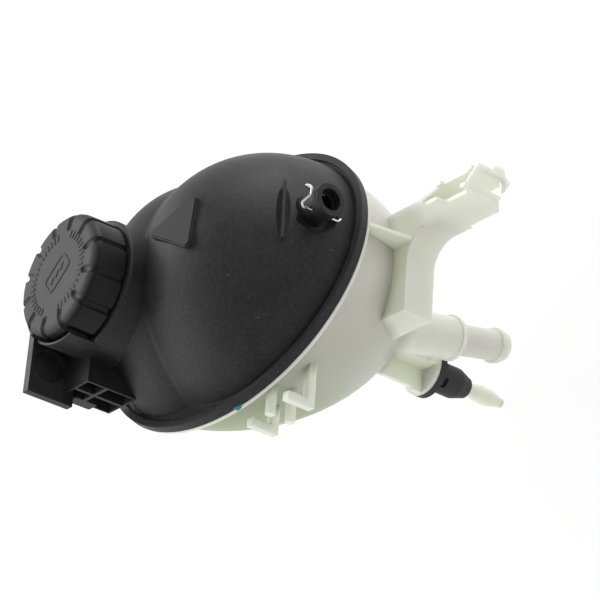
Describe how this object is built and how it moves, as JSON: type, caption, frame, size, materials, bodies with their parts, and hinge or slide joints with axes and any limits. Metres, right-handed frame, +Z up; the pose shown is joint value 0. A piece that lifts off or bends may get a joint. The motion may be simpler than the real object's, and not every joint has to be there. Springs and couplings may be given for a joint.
{
  "type": "coolant expansion tank",
  "caption": "Domed coolant expansion tank with screw pressure cap, hose barb, clipped vent port, grommeted mounting pin and hose and cable holders.",
  "frame": {"origin": "on the mounting pin's axis, where the body of its grommet starts below the groove", "axes": "+Z up along the pin and the filler neck; -Y the way the vent port opens"},
  "size_m": [0.1837, 0.2441, 0.2854],
  "materials": {
    "black_shell": "fine moulded grain, satin",
    "natural_shell": "natural translucent, satin",
    "label": "smooth",
    "steel_wire": "bright drawn wire",
    "rubber": "matt",
    "cap": "fine grain, matt",
    "valve_plastic": "smooth",
    "seal_rubber": "smooth",
    "spring_steel": "bright"
  },
  "bodies": {
    "tank": {"upper_shell": "black_shell", "lower_shell": "natural_shell", "label_plate": "label", "mount_grommet": "rubber"},
    "clip": {"vent_clip": "steel_wire"},
    "plug": {"valve_housing": "valve_plastic", "upper_seal": "seal_rubber", "lower_seal": "seal_rubber", "spring_retainer": "valve_plastic", "relief_spring": "spring_steel"},
    "cap": {"cap_shell": "cap"},
    "relief": {"relief_plunger": "valve_plastic", "relief_seal": "seal_rubber", "vacuum_spring": "spring_steel"},
    "vacuum": {"vacuum_valve": "valve_plastic", "vacuum_washer": "spring_steel"}
  },
  "joints": [
    {"name": "clip_lift", "type": "slide", "parent": "tank", "child": "clip", "axis": [0, 0, 1], "range_m": [0, 0.003]},
    {"name": "plug_lift", "type": "slide", "parent": "tank", "child": "plug", "axis": [0, 0, 1], "range_m": [0, 0.008]},
    {"name": "cap_turn", "type": "hinge", "parent": "plug", "child": "cap", "pos_m": [-0.005, 0.0486, 0.2278], "axis": [0, 0, 1], "range_deg": [0, 720]},
    {"name": "relief_lift", "type": "slide", "parent": "plug", "child": "relief", "axis": [0, 0, 1], "range_m": [0, 0.003], "deforming": ["relief_spring"]},
    {"name": "vacuum_drop", "type": "slide", "parent": "relief", "child": "vacuum", "axis": [0, 0, -1], "range_m": [0, 0.0015], "deforming": ["vacuum_spring"]}
  ],
  "couplings": [
    {"joint": "plug_lift", "follows": "cap_turn", "m_per_rad": 0.00063662}
  ]
}
